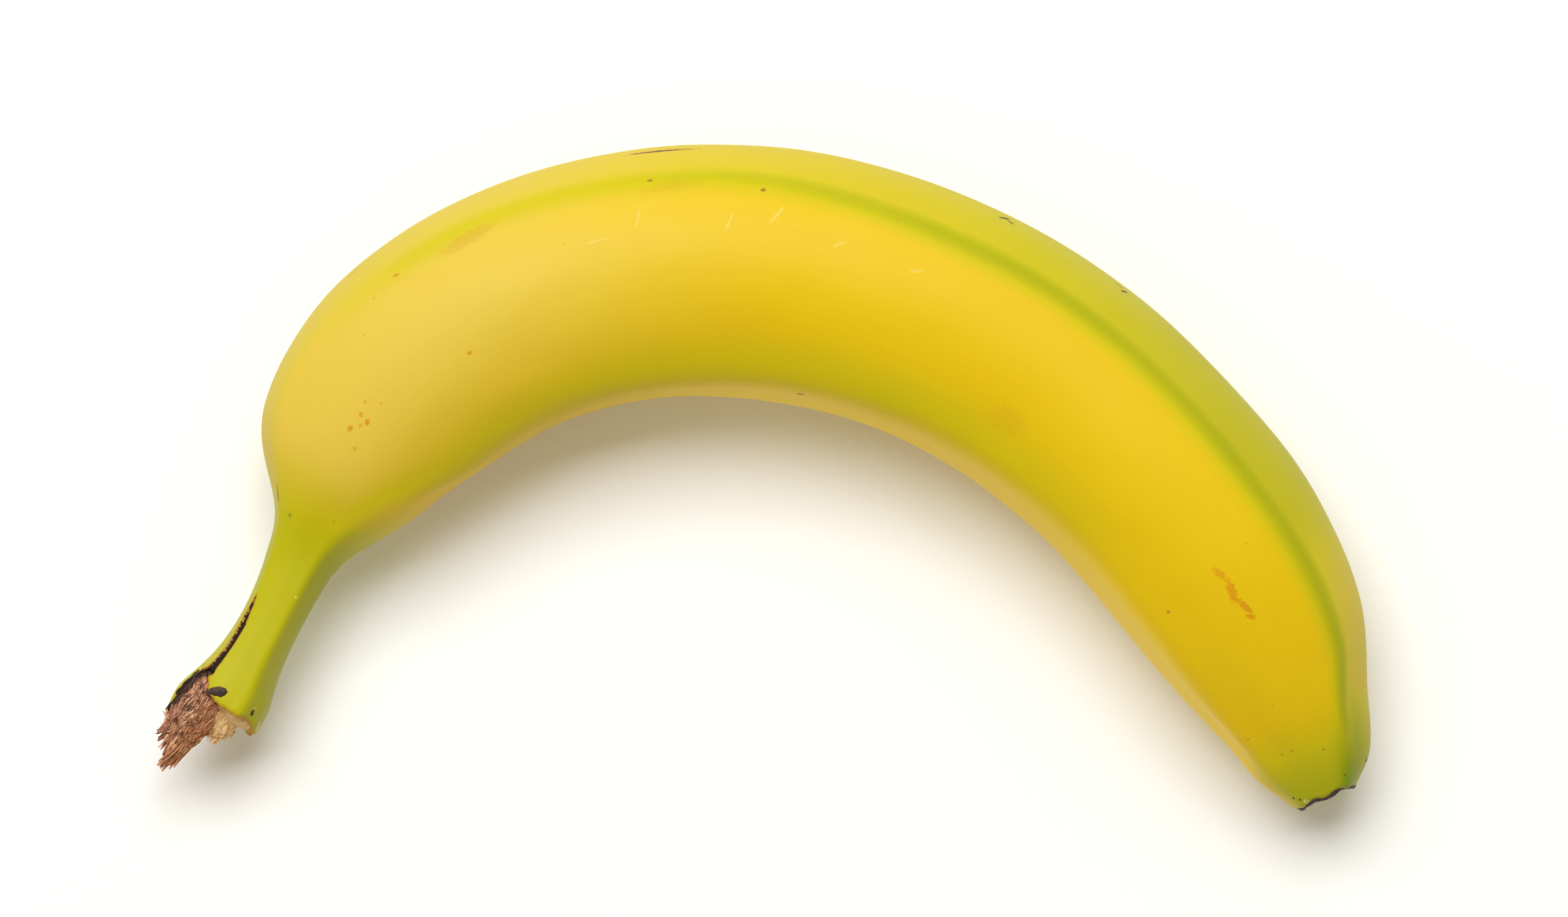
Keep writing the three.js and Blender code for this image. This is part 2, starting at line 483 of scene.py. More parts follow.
OUTLINE = [                # along, then how far the outer and the inner side of the bend stand out
    (0, 0.0, 0.0), (35, 0.0, 0.0), (42, -0.9, 0.1), (54, 0.8, -1.1), (65, 0.5, -0.5),
    (77, 0.1, -0.3), (100, -0.1, -0.3), (170, -0.2, -0.3), (185, -0.5, -0.5), (206, 0.2, -0.2),
    (218, 0.4, -0.2), (229, -0.3, -0.2), (238, 0.7, 0.0), (243, 0.1, 0.0),
]
PRESSED = 0.6              # up to this height above the table the peel is held back


def angle_between(a, b):
    """The angle from b to a in degrees, from -180 to 180."""
    return math.remainder(a - b, 360)


def frame_angle(ridge, along):
    """Where a ridge of the frame runs: it turns from its place on the stalk to that on the body."""
    body, stalk = ridge
    return stalk + (body - stalk) * smoothstep(STALK_END, NECK_END + 8, along)


def ridge_angle(ridge, along):
    """Where a ridge really runs."""
    if ridge is FRAME_RIDGES[1]:
        return frame_angle(ridge, along) - 12 * smoothstep(60, 165, along)
    if ridge is not FRAME_RIDGES[0]:
        return frame_angle(ridge, along)
    for (a, before), (b, after) in zip(TOP_RIDGE, TOP_RIDGE[1:]):
        if along <= b:
            return before + (after - before) * smoothstep(a, b, along)
    return TOP_RIDGE[-1][1]


def swell(off):
    """The frame's own ridge, in millimetres, at some degrees from its crest."""
    return 1.0 / (1 + (off / FRAME_SPREAD) ** 2)


def split_at(along):
    """The middle of the split, as unbent across, and half its width."""
    for (a, u, half), (b, v, other) in zip(SPLIT, SPLIT[1:]):
        if a <= along <= b:
            t = (along - a) / (b - a)
            reach = skin(along, 0).x
            return (u + (v - u) * t) * reach, half + (other - half) * t
    return None


def carve(along, across, up, degrees):
    """How far the peel stands out at a point, in millimetres."""
    out = 0.0
    body = smoothstep(STALK_END, NECK_END, along) * (1 - smoothstep(226, 240, along))
    for ridge in FRAME_RIDGES:
        # A firmer crest. The inner ridge has the boldest one.
        off = angle_between(degrees, ridge_angle(ridge, along))
        spread = 9
        crest = CREST * (0.8 + 0.4 * noise.noise(Vector((along * 0.04, ridge[0], 0))))
        if ridge is FRAME_RIDGES[1]:
            crest *= 1 + 0.8 * body
            spread = 12
        out += crest * math.exp(-(off / spread) ** 2) * (1.15 - 0.15 * body)

        # The frame's ridge is taken away where it is and put back where the real one runs.
        out += body * (swell(off) - swell(angle_between(degrees, frame_angle(ridge, along))))

    # Long waves on the body, and shorter ones everywhere.
    round_place = Vector((math.cos(math.radians(degrees)), math.sin(math.radians(degrees)), 0))
    out += 0.30 * body * noise.noise(Vector((along * 0.03, *(round_place.to_2d() * 0.9))))
    out += 0.10 * noise.noise(Vector((along * 0.10, *(round_place.to_2d() * 2.5))))

    # The torn lip is lumpy, and the bulges fade out along the fruit and round it.
    torn = 1 - smoothstep(0.3, 1.6, along - tear_at(degrees))
    out += 0.30 * torn * noise.noise(Vector((along * 1.4, across * 1.4, up * 1.4)))
    for middle, reach, height, angle, near, far in BULGES:
        round_it = smoothstep(far, near, abs(angle_between(degrees, angle)))
        out += height * math.exp(-((along - middle) / reach) ** 2) * round_it

    # The split is a groove that gets shallower as it narrows, between two slightly raised edges.
    split = split_at(along) if up > 0 else None
    if split:
        middle, half = split
        off = abs(across - middle) / max(half, 0.05)
        out -= 1.1 * half ** 0.5 * (1 - off ** 4) if off < 1 else 0
        out += 0.10 * math.exp(-((off - 1.5) / 0.6) ** 2) * min(1, half * 3)
    return out


def outline_shift(along, degrees):
    """The slow swelling and thinning of the fruit's two sides, in millimetres."""
    for (a, outer, inner), (b, outer_next, inner_next) in zip(OUTLINE, OUTLINE[1:]):
        if along <= b:
            t = smoothstep(a, b, along)
            side = math.cos(math.radians(degrees))
            if side > 0:
                return side ** 2 * (outer + (outer_next - outer) * t)
            return side ** 2 * (inner + (inner_next - inner) * t)
    return 0.0


def facing_degrees(vert):
    """Which way a vert of the fine net faces round the fruit, in degrees."""
    return math.degrees(math.atan2(vert[facing].y, vert[facing].x)) % 360


def is_inner_wall(along, across, up, degrees):
    """Whether a point is on the lip's inner wall at the stalk, which isn't carved."""
    return along < 17 and math.hypot(across, up) < 0.86 * skin(along, degrees).length


bm.normal_update()
unbent = bm.verts.layers.float_vector["unbent"]
facing = bm.verts.layers.float_vector["facing"]
moves = []
for vert in bm.verts:
    along, across, up = vert[unbent]
    degrees = facing_degrees(vert)
    free = smoothstep(0.02, PRESSED, vert.co.z / MM)
    if is_inner_wall(along, across, up, degrees):
        moves.append(0.0)
    else:
        moves.append((carve(along, across, up, degrees) + outline_shift(along, degrees)) * free)
for vert, move in zip(bm.verts, moves):
    vert.co += vert.normal * move * MM
print("carved by", round(min(moves), 2), "to", round(max(moves), 2), "mm")

# %% [markdown]
# ## How ripe each place is, and where light and shade are painted
#
# A banana ripens unevenly: the stalk and the tip stay green longest, then the ridges, and
# the face on the outside of the bend stays greener than the broad face. That is a slow change
# over the whole fruit, so it is worked out once for each vert and kept on the mesh as an
# attribute. That green also holds painted shade: the stalk's inner side and the upper flank of
# the inner ridge are painted greener and darker where they turn from the light. Painted sheen on
# the shoulder, with a paler outer face near the tip, and painted bounce light on the narrow face
# below the inner ridge are kept the same way. So are how dried the lip is and how far it is to
# the split. Marks that are finer than the net are left to the material.

# %% Write ripeness, painted shade and light, and dryness on the verts
green_and_shade = bm.verts.layers.float.new("green_and_shade")
dried = bm.verts.layers.float.new("dried")
gap = bm.verts.layers.float.new("gap")
pale_and_sheen = bm.verts.layers.float.new("pale_and_sheen")
painted_bounce_light = bm.verts.layers.float.new("painted_bounce_light")


def green_and_shade_level(along, degrees):
    """0 where the peel is ripe yellow, 1 where it is green, more where it is deep green. On the stalk's
    inner side and the inner ridge's upper flank it also holds painted shade.
    """
    crest = ridge_angle(FRAME_RIDGES[0], along)
    off_crest = angle_between(degrees, crest)
    from_outside = abs(angle_between(degrees, 0))

    # The stalk is green all round. It is greener on its inner side and below: partly its own colour, and
    # partly painted shade of the side that turns from the light.
    stalk = (1 - smoothstep(36, 54, along)) * (0.76 + 0.20 * smoothstep(112, 130, degrees))

    # So is the tip, but for its inner side. Its outer face starts sooner, and the crest is deepest.
    tip = smoothstep(226, 243, along) * smoothstep(165, 105, abs(angle_between(degrees, 20)))
    outer_tip = 0.90 * smoothstep(75, 45, from_outside) * smoothstep(221, 242, along)
    near_crest = math.exp(-(off_crest / (12 if off_crest > 0 else 28)) ** 2)
    tip = max(tip, outer_tip) + 0.45 * near_crest * smoothstep(222, 238, along)

    # A green line follows the top ridge, and gets stronger towards the tip.
    strength = 0.5 * smoothstep(55, 85, along) + 0.5 * smoothstep(85, 165, along)
    line = math.exp(-(off_crest / 8) ** 2) * strength

    # The outer face and the ridge underneath are half green. So is the inner ridge's upper flank: partly
    # its own green, and partly painted shade.
    outer = smoothstep(crest + 8, crest - 6, from_outside)
    outer *= 0.25 + 0.45 * smoothstep(90, 200, along) - 0.35 * smoothstep(200, 220, along)
    below_crest = angle_between(degrees, ridge_angle(FRAME_RIDGES[1], along) - 9)
    inner = math.exp(-(below_crest / 14) ** 2) * 0.45 * (1 - smoothstep(150, 215, along))
    under = math.exp(-(angle_between(degrees, 308) / 14) ** 2) * 0.5
    return max(stalk, tip, outer, 0.95 * line, inner, under)


def pale_and_sheen_share(along, degrees):
    """Painted sheen on the outer side of the shoulder, and a paler yellow on the outer face near the tip.
    """
    side = smoothstep(125, 55, abs(angle_between(degrees, 30)))
    shoulder = side * smoothstep(38, 52, along) * (1 - smoothstep(72, 130, along))
    outer_face = smoothstep(66, 46, abs(angle_between(degrees, 0)))
    return max(shoulder, 0.7 * outer_face * smoothstep(170, 200, along))


def painted_bounce_light_share(along, degrees):
    """Painted bounce light: the narrow face below the inner ridge, which the floor lights, is painted
    brighter.
    """
    edge = ridge_angle(FRAME_RIDGES[1], along)
    face = smoothstep(edge - 5, edge + 6, degrees) * smoothstep(250, 215, degrees)
    return face * smoothstep(80, 130, along) * (1 - smoothstep(232, 241, along))


def dryness(along, degrees):
    """How dried the peel is at the torn lip: up to 1 at the lip itself, 0 from 1 mm away."""
    from_lip = along - tear_at(degrees)
    dark_side = smoothstep(38, 26, abs(angle_between(degrees, 24)))
    corner = 0.42 * smoothstep(16, 6, abs(angle_between(degrees, 180)))
    return max(
        dark_side * (1 - smoothstep(0.0, 0.9, from_lip)),
        corner * (1 - smoothstep(0.0, 0.9, from_lip)),
        0.35 * (1 - smoothstep(0.0, 0.4, from_lip)),
    )


def gap_distance(along, across, up):
    """Millimetres from the edge of the split: less than 0 inside it."""
    nearest = min(max(along, SPLIT[0][0]), SPLIT[-1][0])
    middle, half = split_at(nearest)
    if up < 0:
        return 5.0
    beside = abs(across - middle) - half
    if beside <= 0 and along == nearest:
        return beside
    return math.hypot(along - nearest, beside)


for vert in bm.verts:
    along, across, up = vert[unbent]
    degrees = facing_degrees(vert)
    vert[gap] = gap_distance(along, across, up)
    vert[green_and_shade] = green_and_shade_level(along, degrees)
    vert[pale_and_sheen] = pale_and_sheen_share(along, degrees)
    vert[painted_bounce_light] = painted_bounce_light_share(along, degrees)
    vert[dried] = dryness(along, degrees) if along < TEAR_REACH else 0.0
print("green written on", len(bm.verts), "verts")

# %% [markdown]
# ## The finish of the peel
#
# A banana's skin is a waxy leaf-like skin over soft pith: satin, with an index of refraction
# near 1.45, no metal, and a roughness near a half. The wax is thin and full of pores, so its shine
# is kept low. Its colour is yellow pigment with some green left, in three steps: half green, full
# green, and the deep green beside the tip. What tells it from plastic is the fine grain of its
# pores, faint lengthwise streaks, and the marks of its life: specks, rubs, and corky scars.

# %% Peel material: ripe and green
PATCH = 22                 # the size of a patch of riper or less ripe peel
peel_skin, tree, shader = start_material("banana peel, waxy")
place = add(tree, "Attribute", {"attribute_name": "unbent"}).outputs["Vector"]
green_and_shade_share = add(tree, "Attribute", {"attribute_name": "green_and_shade"}).outputs["Fac"]
dry = add(tree, "Attribute", {"attribute_name": "dried"}).outputs["Fac"]
mottle = add(tree, "TexNoise", {"Scale": 1 / PATCH, "Detail": 3.0, "Roughness": 0.55}, {"Vector": place})
colour = add(tree, "Mix", {"data_type": "RGBA", 6: linear("#DFBA06"), 7: linear("#E3C20A")},
             {0: mottle.outputs["Fac"]}).outputs[2]
# Painted light in the peel's yellow: the first of these paints the shoulder's broad sheen, with a paler
# outer face near the tip, and the second paints the floor's bounce light on the narrow face below the inner
# ridge.
for attribute, yellow in (("pale_and_sheen", "#DDBF45"), ("painted_bounce_light", "#FAD630")):
    share = add(tree, "Attribute", {"attribute_name": attribute}).outputs["Fac"]
    colour = add(tree, "Mix", {"data_type": "RGBA", 7: linear(yellow)}, {0: share, 6: colour}).outputs[2]

UNEVENNESS = 0.22          # how much the mottling adds to the greenness and takes from it
uneven = add(tree, "Math", {"operation": "MULTIPLY_ADD", 1: UNEVENNESS, 2: -UNEVENNESS / 2},
             {0: mottle.outputs["Fac"]})
level = add(tree, "Math", {"operation": "ADD"}, {0: green_and_shade_share, 1: uneven.outputs[0]})
GREENS = [                 # from and up to which greenness a green comes in
    (0.05, 0.55, "#C8BC08"), (0.5, 1.0, "#A7A80E"), (1.0, 1.5, "#6F900A"),
]
for low, high, shade in GREENS:
    share = add(tree, "MapRange", {"From Min": low, "From Max": high}, {"Value": level.outputs[0]})
    colour = add(tree, "Mix", {"data_type": "RGBA", 7: linear(shade)},
                 {0: share.outputs[0], 6: colour}).outputs[2]
print("peel base:", len(tree.nodes), "nodes")

# %% [markdown]
# Along the torn lip and the split the peel dried: first a rusty brown, then black. Inside the split's gap
# the black is also painted shade of the open crack. An attribute alone has a soft edge, but a dried edge is
# ragged, so fine noise shifts it to and fro.

# %% Peel finish: streaks, and the dried lip and split
PORE = 0.45                # the real pores are finer still, and wouldn't show
TOOTH = 0.55               # the size of the teeth of a ragged edge
streak_place = add(tree, "Mapping", {"Scale": (0.03, 0.9, 0.9)}, {"Vector": place})    # 33 by 1.1 mm
streaks = add(tree, "TexNoise", {"Scale": 1.0, "Detail": 4.0}, {"Vector": streak_place.outputs[0]})
pores = add(tree, "TexNoise", {"Scale": 1 / PORE, "Detail": 2.0}, {"Vector": place})
edge_noise = add(tree, "TexNoise", {"Scale": 1 / TOOTH, "Detail": 3.0, "Roughness": 0.7}, {"Vector": place})
ragged = add(tree, "Math", {"operation": "MULTIPLY_ADD", 1: 1.4, 2: -0.7}, {0: edge_noise.outputs["Fac"]})
dry_level = add(tree, "Math", {"operation": "MULTIPLY_ADD"}, {0: dry, 1: ragged.outputs[0], 2: dry})
to_split = add(tree, "Attribute", {"attribute_name": "gap"}).outputs["Fac"]
split_edge = add(tree, "Math", {"operation": "MULTIPLY_ADD", 1: -0.4},
                 {0: edge_noise.outputs["Fac"], 2: to_split})
LAYERS = {                 # what each follows, from which value to which it comes in, how far, colour
    "faint streaks": (streaks.outputs["Fac"], 0.35, 0.75, 0.05, "#C99A1E"),
    "rusty lip": (dry_level.outputs[0], 0.15, 0.40, 1.0, "#C98A2B"),
    "black lip": (dry_level.outputs[0], 0.40, 0.60, 1.0, "#33251F"),
    "rusty split": (split_edge.outputs[0], 0.12, -0.20, 0.75, "#B9751F"),
    # The split's black is its dried edge, and painted shade inside the gap.
    "black split and painted shade": (split_edge.outputs[0], -0.17, -0.24, 1.0, "#2F2320"),
}
covers = {}
for name, (value, low, high, strength, tint) in LAYERS.items():
    covers[name] = add(tree, "MapRange", {"From Min": low, "From Max": high, "To Max": strength},
                       {"Value": value}).outputs[0]
    colour = add(tree, "Mix", {"data_type": "RGBA", 7: linear(tint)},
                 {0: covers[name], 6: colour}).outputs[2]
# Where the peel is black, dried or painted shade in the split, it is matt.
charred_and_shade = add(tree, "Math", {"operation": "MAXIMUM"}, {0: covers["black split and painted shade"], 1: covers["black lip"]})
print("peel grain and lip:", len(tree.nodes), "nodes")

# %% [markdown]
# The marks are placed one by one, because they are what makes this fruit this fruit. Each is an
# ellipse that lies on the peel: a Mapping node brings it to a ball of radius 1, turned so
# that it faces out of the peel, and shared noise makes its edge ragged.

# %% Marks on the peel
CORK = "#96552B"
BRUISE = "#4B2A1D"
RUST = "#D2870F"
TAN = "#C0752C"
PALE = "#F7E9A6"
OLIVE = "#8A8A1C"
# Each mark has its place (along, and the share of the fruit's half width), its own half length and
# half width, how it is turned in degrees, its strength, and its colour.
MARKS = [
    # A corky scuff on the outer edge at the top of the bend, and two nicks further along.
    (109.5, 0.95, 4.1, 0.45, 0, 0.85, CORK), (109.0, 0.95, 2.6, 0.20, 0, 0.9, BRUISE),
    (152.0, 0.94, 1.1, 0.30, 50, 1.0, BRUISE), (152.8, 0.93, 0.5, 0.25, -30, 0.9, BRUISE),
    (169.0, 0.95, 0.9, 0.25, 60, 1.0, BRUISE), (168.2, 0.96, 0.6, 0.25, 10, 0.8, CORK),
    # A rusty smear on the arm.
    (205.2, -0.09, 1.4, 0.60, 20, 0.55, RUST), (208.4, -0.08, 2.0, 0.65, -12, 0.70, RUST),
    (211.2, -0.05, 1.4, 0.55, 15, 0.75, RUST), (212.9, -0.04, 0.7, 0.40, 40, 0.75, RUST),
    # Rusty dots on the shoulder.
    (57.1, 0.12, 0.50, 0.35, 20, 0.75, RUST), (59.2, 0.02, 0.50, 0.40, 0, 0.80, RUST),
    (59.6, 0.11, 0.40, 0.30, 50, 0.65, RUST), (58.3, 0.06, 0.30, 0.25, 0, 0.60, RUST),
    (61.4, 0.14, 0.30, 0.22, 0, 0.50, RUST), (55.0, -0.02, 0.35, 0.25, 0, 0.50, RUST),
    (62.6, 0.02, 0.25, 0.20, 0, 0.45, RUST), (77.5, -0.16, 0.40, 0.35, 0, 0.75, RUST),
    # Rubs on the shoulder's outer edge, and rubs and specks near the top ridge.
    (69.8, 0.98, 1.5, 0.24, 5, 0.75, TAN), (71.6, 0.95, 1.2, 0.20, -10, 0.70, TAN),
    (72.6, 0.91, 0.6, 0.15, -5, 0.60, TAN),
    (84.5, 0.66, 3.4, 1.0, 5, 0.22, TAN), (110.5, 0.65, 4.2, 0.9, 5, 0.12, TAN),
    (75.2, 0.70, 0.45, 0.22, -30, 0.65, TAN), (108.0, 0.70, 0.35, 0.3, 0, 0.7, CORK),
    (122.0, 0.62, 0.40, 0.3, 0, 0.8, CORK), (44.0, 0.76, 1.2, 0.22, 5, 0.8, CORK),
    (42.0, 0.49, 0.35, 0.35, 0, 0.7, OLIVE),
    # Specks on the inner side, and a faint bruise.
    (132.0, -0.90, 0.8, 0.22, 20, 0.9, BRUISE), (205.8, -0.60, 0.32, 0.24, 40, 0.8, TAN),
    (166.0, -0.45, 3.2, 2.2, 0, 0.08, CORK),
    # Pale scratches in the wax.
    (106.0, 0.42, 1.6, 0.16, 75, 0.19, PALE), (118.0, 0.36, 1.5, 0.16, 70, 0.22, PALE),
    (124.0, 0.42, 1.9, 0.16, 60, 0.25, PALE), (133.0, 0.30, 1.2, 0.20, 40, 0.17, PALE),
    (144.0, 0.26, 1.0, 0.20, 30, 0.17, PALE), (100.0, 0.30, 1.6, 0.16, 5, 0.17, PALE),
    # A pale speck and the pit on the stalk.
    (31.5, -0.42, 0.22, 0.20, 0, 0.6, PALE), (14.1, -0.73, 0.50, 0.42, 0, 1.0, BRUISE),
    # Spots round the tip.
    (239.2, 0.96, 0.6, 0.25, 80, 0.9, BRUISE),
    (242.0, -0.76, 0.40, 0.34, 0, 0.7, PALE), (242.0, -0.76, 0.20, 0.18, 0, 0.8, OLIVE),
    (240.8, -0.87, 0.22, 0.20, 0, 1.0, BRUISE), (241.4, -0.82, 0.18, 0.16, 0, 1.0, BRUISE),
]
MARK_DEPTH = 2.0           # how deep a mark's ball reaches into the peel
edge_push = add(tree, "Math", {"operation": "MULTIPLY_ADD", 1: 2.4, 2: -1.2},
                {0: edge_noise.outputs["Fac"]})
for along, share, half_length, half_width, turn, strength, mark in MARKS:
    centre = on_top(along, share)
    tilt = math.atan2(centre.z, centre.y) - math.pi / 2
    facing_out = Matrix.Rotation(tilt, 3, "X") @ Matrix.Rotation(math.radians(turn), 3, "Z")
    ball = add(tree, "Mapping", {
        "vector_type": "TEXTURE", "Location": centre, "Rotation": facing_out.to_euler(),
        "Scale": (half_length, half_width, MARK_DEPTH),
    }, {"Vector": place})
    reach = add(tree, "VectorMath", {"operation": "LENGTH"}, {0: ball.outputs[0]})
    ragged_reach = add(tree, "Math", {"operation": "ADD"},
                       {0: reach.outputs["Value"], 1: edge_push.outputs[0]})
    cover = add(tree, "MapRange", {"From Min": 1.15, "From Max": 0.7, "To Max": strength},
                {"Value": ragged_reach.outputs[0]})
    colour = add(tree, "Mix", {"data_type": "RGBA", 7: linear(mark)},
                 {0: cover.outputs[0], 6: colour}).outputs[2]
print(len(MARKS), "marks")

# %% [markdown]
# Freckles are where the skin's own pores browned. There are a few pale ones on the body, and more and
# darker ones near the tip. A Voronoi pattern has one point in each cell: its colour is a random
# number for the cell, which says if there is a freckle and how big it is.

# %% Freckles, gloss and grain
# Each kind has the size of a cell, the share of cells left empty, the largest radius, its colour,
# its strength, and whether it is only near the tip.
FRECKLES = [
    (4.0, 0.45, 0.24, "#B8791E", 0.55, False), (1.5, 0.45, 0.26, "#6E4526", 0.8, True),
]
axes = add(tree, "SeparateXYZ", None, {0: place})
near_tip = add(tree, "MapRange", {"From Min": 214.0, "From Max": 236.0}, {"Value": axes.outputs["X"]})
for cell, empty, radius, mark, strength, only_near_tip in FRECKLES:
    cells = add(tree, "TexVoronoi", {"Scale": 1 / cell}, {"Vector": place})
    chance = add(tree, "SeparateColor", None, {0: cells.outputs["Color"]})
    size = add(tree, "MapRange", {"From Min": empty, "From Max": 1.0, "To Max": radius / cell},
               {"Value": chance.outputs["Red"]})
    inside = add(tree, "Math", {"operation": "SUBTRACT"},
                 {0: size.outputs[0], 1: cells.outputs["Distance"]})
    cover = add(tree, "MapRange", {"From Min": 0.0, "From Max": 0.12 / cell, "To Max": strength},
                {"Value": inside.outputs[0]}).outputs[0]
    if only_near_tip:
        cover = add(tree, "Math", {"operation": "MULTIPLY"}, {0: cover, 1: near_tip.outputs[0]}).outputs[0]
    colour = add(tree, "Mix", {"data_type": "RGBA", 7: linear(mark)}, {0: cover, 6: colour}).outputs[2]
tree.links.new(colour, shader.inputs["Base Color"])
rough = add(tree, "MapRange", {"To Min": 0.42, "To Max": 0.55}, {"Value": mottle.outputs["Fac"]})
rough = add(tree, "Mix", {3: 0.95}, {0: charred_and_shade.outputs[0], 2: rough.outputs[0]})
tree.links.new(rough.outputs[0], shader.inputs["Roughness"])
shader.inputs["IOR"].default_value = 1.45
shader.inputs["Specular IOR Level"].default_value = 0.2
bump = add(tree, "Bump", {"Strength": 0.35, "Distance": 0.06 * MM}, {"Height": pores.outputs["Fac"]})
tree.links.new(bump.outputs[0], shader.inputs["Normal"])
print("peel finish:", len(tree.nodes), "nodes in all")

# %% The peel is ready
peel = make_object("banana_peel", bm, peel_skin)
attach(peel, "root")
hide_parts("banana")
print("banana_peel:", len(peel.data.polygons), "faces")

# %% [markdown]
# ## The torn end of the stalk
#
# When a banana is pulled from its bunch, the stalk tears. Three things show: a mat of dried brown
# fibre that frays to points, cream pith that broke off in flakes, and the peel's own lip. They
# could be one lump with a busy texture, but in profile a torn thing is all points and gaps, so it is
# built of many small pieces instead.
#
# All of them start as the same thing: a straight tube with closed ends, whose points are then
# carried along a path. A path says, for each share of the way, where the middle is and how wide
# and how high the section is. The tube's two ends shrink to a point where the path says so.
#
# The peel's tongue dried black along its rim, and so did what touches it. The fibres next to the rim lie
# lower than it, and their black is also painted shade. Each point of a torn piece therefore notes how near
# to `RIM` it is, seen from above.

# %% One tool for fibres, flakes and lumps
rng = random.Random(7)
RIM = [                    # the tongue's blackened rim: along, across
    (16.5, 3.9), (15.9, 4.3), (14.7, 5.3), (13.2, 5.9), (10.0, 5.7), (8.3, 5.2),
]


def start_bmesh():
    """An empty bmesh with the three layers that torn pieces carry, and those layers."""
    bm = bmesh.new()
    layers = bm.verts.layers
    return bm, layers.float_vector.new("unbent"), layers.float.new("tone"), layers.float.new("charred_and_shade")


def near_rim(along, across):
    """1 at the tongue's blackened rim, and 0 from 1.5 mm away from it."""
    spot = Vector((along, across))
    distances = []
    for a, b in zip(RIM, RIM[1:]):
        share = geometry.intersect_point_line(spot, Vector(a), Vector(b))[1]
        closest = Vector(a).lerp(Vector(b), min(max(share, 0), 1))
        distances.append((closest - spot).length)
    return 1 - smoothstep(0.3, 1.5, min(distances))


def tube(whole, sides, cuts, path, rag=0.0, shade=0.0):
    """Adds a closed tube to a bmesh, carried along a path and bent with the fruit.

    rag is how rough its surface is, in millimetres, and shade is the tone that all of it gets.
    """
    bm, unbent, tone, charred_and_shade = start_bmesh()
    start = Matrix.Translation((0, 0, 0.5))
    bmesh.ops.create_cone(
        bm, cap_ends=True, segments=sides, radius1=1, radius2=1, depth=1, matrix=start)
    lengthwise = [e for e in bm.edges if abs(e.verts[0].co.z - e.verts[1].co.z) > 0.5]
    bmesh.ops.subdivide_edges(bm, edges=lengthwise, cuts=cuts)
    for vert in bm.verts:
        along, across, up, wide, high = path(vert.co.z)
        place = Vector((along, across + vert.co.x * wide, up + vert.co.y * high))
        if rag:
            rough = Vector((place.x * 0.45, place.y * 1.6, place.z * 1.6))
            fine = 0.6 * noise.noise(rough * 2.7)
            finest = 0.4 * noise.noise(rough * 6)
            push = rag * (noise.noise(rough) + fine + finest)
            place += Vector((0, vert.co.x, vert.co.y)) * push
        vert[unbent] = place
        vert[tone] = shade
        vert[charred_and_shade] = near_rim(place.x, place.y)
        vert.co = bend(*place)
    bmesh.ops.recalc_face_normals(bm, faces=bm.faces)

    # A bmesh takes in a whole mesh with its layers, so the tube joins the others by way of a mesh.
    made = bpy.data.meshes.new("tube")
    bm.to_mesh(made)
    bm.free()
    whole.from_mesh(made)
    bpy.data.meshes.remove(made)


def through(stations):
    """A smooth path through stations: each is along, across, up, half width and half height."""
    def path(share):
        place = share * (len(stations) - 1)
        i = min(int(place), len(stations) - 2)
        t = place - i
        t = t * t * (3 - 2 * t) * 0.5 + t * 0.5
        return [a + (b - a) * t for a, b in zip(stations[i], stations[i + 1])]
    return path


print("tube tool ready; the blackened rim runs from", RIM[0][0], "to", RIM[-1][0], "mm along")

# %% The mat of dried fibre
MAT = [                    # along, across, up, half width, half height
    (20.0, 1.8, 1.0, 1.6, 1.8), (17.0, 2.6, 1.0, 2.3, 2.8), (14.5, 3.0, 1.0, 2.7, 3.5),
    (12.0, 2.6, 0.9, 3.1, 3.5), (9.5, 2.0, 0.8, 3.3, 3.1), (7.5, 1.3, 0.6, 3.0, 2.5),
    (5.8, 0.7, 0.4, 2.6, 1.9), (4.4, 0.5, 0.3, 1.9, 1.3), (3.3, 0.7, 0.2, 0.9, 0.6),
    (2.8, 0.9, 0.2, 0.2, 0.2),
]
mat_path = through(MAT)


def on_mat(share, degrees, lift):
    """An unbent point some way out from the mat's surface."""
    along, across, up, wide, high = mat_path(share)
    turn = math.radians(degrees)
    return Vector((along, across + (wide + lift) * math.cos(turn), up + (high + lift) * math.sin(turn)))


bm, unbent, tone, charred_and_shade = start_bmesh()
tube(bm, 28, 40, mat_path, rag=0.5, shade=0.35)
print("mat:", len(bm.faces), "faces")

# %% [markdown]
# Fibres lie on the mat like combed hair. Most end on it. The others run on past it and gather into
# the few points that the tuft frays to. Their middle lines wander a little, and each has a shade
# of its own.

# %% Strands on the mat, and the points that it frays to
STRANDS = 560
FRAY_STRANDS = 10          # for each of the tuft's points
FRAYS = [                  # where the tuft's points end: along, across, up
    (-1.6, 0.1, -0.2), (-1.3, 0.6, 0.7), (-0.3, -0.9, -0.6), (0.4, 0.9, 0.4), (0.8, 1.9, -0.2),
    (2.0, 3.4, 0.8), (1.6, 2.9, -0.4), (5.6, 4.6, 0.6), (3.4, 3.9, -1.0), (2.2, -1.4, -1.0),
]


def strand_path(start, end, degrees, lift, radius, target):
    """A path over the mat that thins to nothing, and runs to a target if it has one."""
    seed = rng.random() * 100
    wander = rng.uniform(8, 45)

    def path(share):
        on = start + (end - start) * share
        turn = degrees + wander * noise.noise(Vector((seed, share * 2.2, 0)))
        rise = lift * (0.6 + share + 1.5 * noise.noise(Vector((seed, share * 3, 5))))
        place = on_mat(min(on, 1), turn, rise)
        if target:
            pull = smoothstep(0.1, 0.9, share)
            place = place.lerp(Vector(target), pull)
        thin = radius * (1 - share ** 3) + 0.02
        return (*place, thin, thin * 0.8)
    return path


